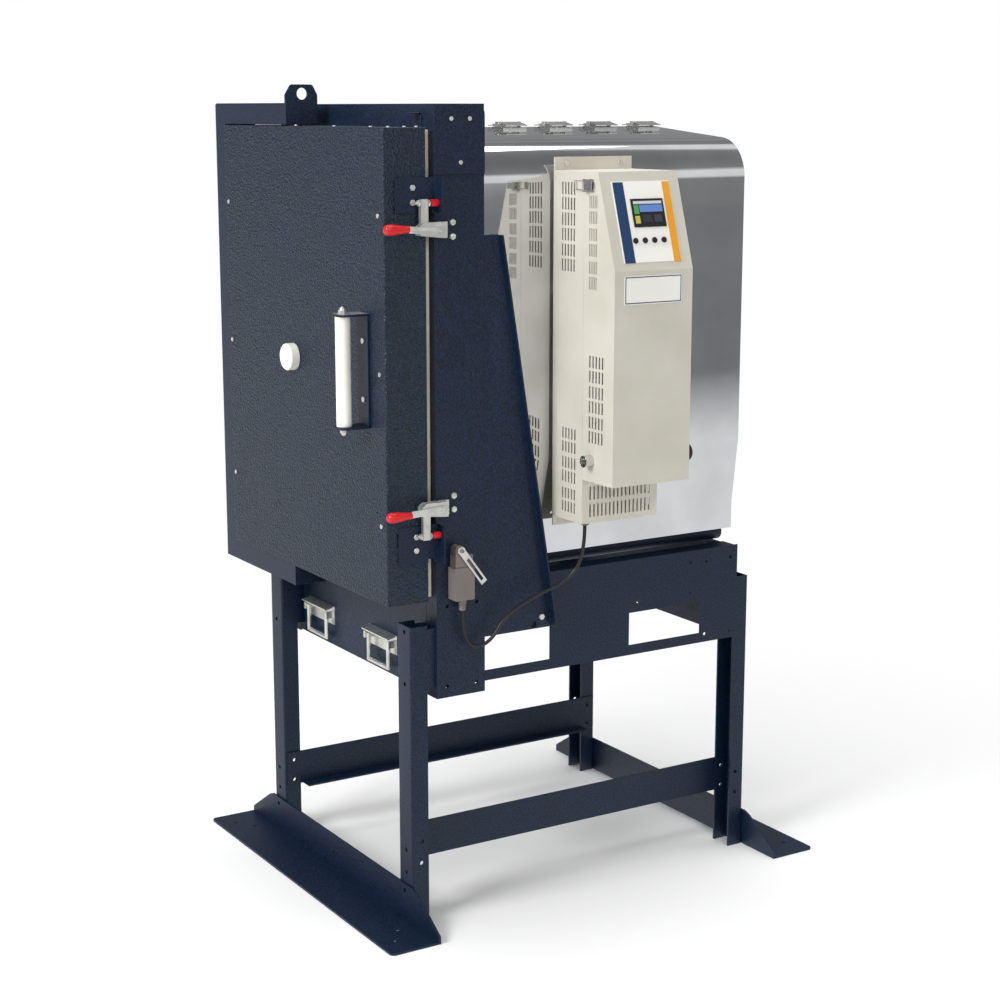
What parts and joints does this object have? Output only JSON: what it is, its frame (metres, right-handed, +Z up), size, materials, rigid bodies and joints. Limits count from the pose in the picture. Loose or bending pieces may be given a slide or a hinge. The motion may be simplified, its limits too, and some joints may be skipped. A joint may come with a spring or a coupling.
{
  "type": "electric kiln",
  "caption": "Front-loading electric kiln on a steel stand: polished jacket, swinging brick-lined door held by toggle clamps, side control box.",
  "frame": {"origin": "on the floor, mid width of the stand, in the front plane of the stand legs", "axes": "+X to the side with the control box, +Y from the door to the rear, +Z up"},
  "size_m": [1.114, 1.155, 1.8],
  "materials": {
    "navy_powder_coat": "satin",
    "hammer_paint": "hammered satin",
    "cream_paint": "satin",
    "polished_stainless": "mirror polished",
    "stainless": "satin",
    "zinc_steel": "zinc plated",
    "fibre": "soft fibre",
    "firebrick": "matte porous",
    "white_ceramic": "smooth",
    "element_wire": "oxidised",
    "switch_plastic": "matte",
    "black_plastic": "matte",
    "panel_film": "satin film",
    "cable_sheath": "matte"
  },
  "bodies": {
    "kiln": {"feet": "navy_powder_coat", "legs": "navy_powder_coat", "stretchers": "navy_powder_coat", "base_sides": "navy_powder_coat", "aprons": "navy_powder_coat", "cradle_tubes": "navy_powder_coat", "columns": "navy_powder_coat", "top_beam": "navy_powder_coat", "cap_plates": "navy_powder_coat", "gussets": "navy_powder_coat", "hinge_brackets": "navy_powder_coat", "mounting_plate": "cream_paint", "control_case": "cream_paint", "jacket": "polished_stainless", "rear_cover": "polished_stainless", "mouth_plate": "stainless", "roof_latch_bases": "stainless", "frame_screws": "zinc_steel", "clamp_bases": "zinc_steel", "bail_plates": "zinc_steel", "insulation": "fibre", "brick_lining": "firebrick", "element_holders": "white_ceramic", "thermocouple": "white_ceramic", "heating_elements": "element_wire", "switch_body": "switch_plastic", "cable_glands": "switch_plastic", "contactors": "black_plastic", "switch_cable": "cable_sheath"},
    "door": {"door_shell": "hammer_paint", "door_insulation": "fibre", "door_brick": "firebrick", "door_gasket": "fibre", "door_screws": "zinc_steel", "handle_bracket": "zinc_steel", "handle_tube": "white_ceramic", "door_yoke": "navy_powder_coat", "door_pivots": "zinc_steel", "strikes": "zinc_steel"},
    "plug": {"peephole_plug": "white_ceramic"},
    "upper_arm": {"clamp_arm_upper": "zinc_steel"},
    "upper_lever": {"clamp_lever_upper": "zinc_steel"},
    "lower_arm": {"clamp_arm_lower": "zinc_steel"},
    "lower_lever": {"clamp_lever_lower": "zinc_steel"},
    "cover": {"control_cover": "cream_paint", "faceplate": "panel_film", "screen": "black_plastic", "cover_latch_bases": "stainless", "socket": "stainless"},
    "near_latch": {"cover_latch_lever_near": "stainless"},
    "far_latch": {"cover_latch_lever_far": "stainless"},
    "knob": {"rotary_knob": "black_plastic"},
    "switch_arm": {"switch_lever": "zinc_steel"},
    "roof_latch_1": {"roof_latch_lever_1": "stainless"},
    "roof_latch_2": {"roof_latch_lever_2": "stainless"},
    "roof_latch_3": {"roof_latch_lever_3": "stainless"},
    "roof_latch_4": {"roof_latch_lever_4": "stainless"},
    "left_bail": {"bail_left": "zinc_steel"},
    "right_bail": {"bail_right": "zinc_steel"}
  },
  "joints": [
    {"name": "door_swing", "type": "hinge", "parent": "kiln", "child": "door", "pos_m": [-0.51, -0.01, 1.2], "axis": [0, 0, 1], "range_deg": [-110, 0]},
    {"name": "plug_pull", "type": "slide", "parent": "door", "child": "plug", "axis": [0, -1, 0], "range_m": [0, 0.12]},
    {"name": "upper_clamp_lever", "type": "hinge", "parent": "kiln", "child": "upper_lever", "pos_m": [0.38, 0.06, 1.503], "axis": [1, 0, 0], "range_deg": [0, 100]},
    {"name": "upper_clamp_arm", "type": "hinge", "parent": "kiln", "child": "upper_arm", "pos_m": [0.369, 0.028, 1.51], "axis": [1, 0, 0], "range_deg": [0, 100]},
    {"name": "lower_clamp_lever", "type": "hinge", "parent": "kiln", "child": "lower_lever", "pos_m": [0.38, 0.06, 0.926], "axis": [1, 0, 0], "range_deg": [-100, 0]},
    {"name": "lower_clamp_arm", "type": "hinge", "parent": "kiln", "child": "lower_arm", "pos_m": [0.369, 0.028, 0.919], "axis": [1, 0, 0], "range_deg": [-100, 0]},
    {"name": "cover_swing", "type": "hinge", "parent": "kiln", "child": "cover", "pos_m": [0.48, 0.45, 0.967], "axis": [0, 1, 0], "range_deg": [0, 80]},
    {"name": "near_latch_swing", "type": "hinge", "parent": "cover", "child": "near_latch", "pos_m": [0.486, 0.345, 1.593], "axis": [0, 0, 1], "range_deg": [-95, 0]},
    {"name": "far_latch_swing", "type": "hinge", "parent": "cover", "child": "far_latch", "pos_m": [0.486, 0.555, 1.593], "axis": [0, 0, 1], "range_deg": [0, 95]},
    {"name": "knob_turn", "type": "hinge", "parent": "cover", "child": "knob", "pos_m": [0.562, 0.555, 1.029], "axis": [0, 1, 0], "range_deg": [0, 90]},
    {"name": "switch_arm_swing", "type": "hinge", "parent": "kiln", "child": "switch_arm", "pos_m": [0.387, 0.103, 0.832], "axis": [1, 0, 0], "range_deg": [-35, 35], "stiffness_Nm_per_rad": 0.05},
    {"name": "left_bail_swing", "type": "hinge", "parent": "kiln", "child": "left_bail", "pos_m": [-0.187, 0.046, 0.584], "axis": [1, 0, 0], "range_deg": [-100, 0]},
    {"name": "right_bail_swing", "type": "hinge", "parent": "kiln", "child": "right_bail", "pos_m": [0.117, 0.046, 0.584], "axis": [1, 0, 0], "range_deg": [-100, 0]},
    {"name": "roof_latch_1_swing", "type": "hinge", "parent": "kiln", "child": "roof_latch_1", "pos_m": [0.012, 0.452, 1.714], "axis": [0, 1, 0], "range_deg": [-110, 0]},
    {"name": "roof_latch_2_swing", "type": "hinge", "parent": "kiln", "child": "roof_latch_2", "pos_m": [0.012, 0.577, 1.714], "axis": [0, 1, 0], "range_deg": [-110, 0]},
    {"name": "roof_latch_3_swing", "type": "hinge", "parent": "kiln", "child": "roof_latch_3", "pos_m": [0.012, 0.702, 1.714], "axis": [0, 1, 0], "range_deg": [-110, 0]},
    {"name": "roof_latch_4_swing", "type": "hinge", "parent": "kiln", "child": "roof_latch_4", "pos_m": [0.012, 0.826, 1.714], "axis": [0, 1, 0], "range_deg": [-110, 0]}
  ],
  "couplings": [
    {"joint": "upper_clamp_arm", "follows": "upper_clamp_lever", "ratio": 1},
    {"joint": "lower_clamp_arm", "follows": "lower_clamp_lever", "ratio": 1}
  ]
}
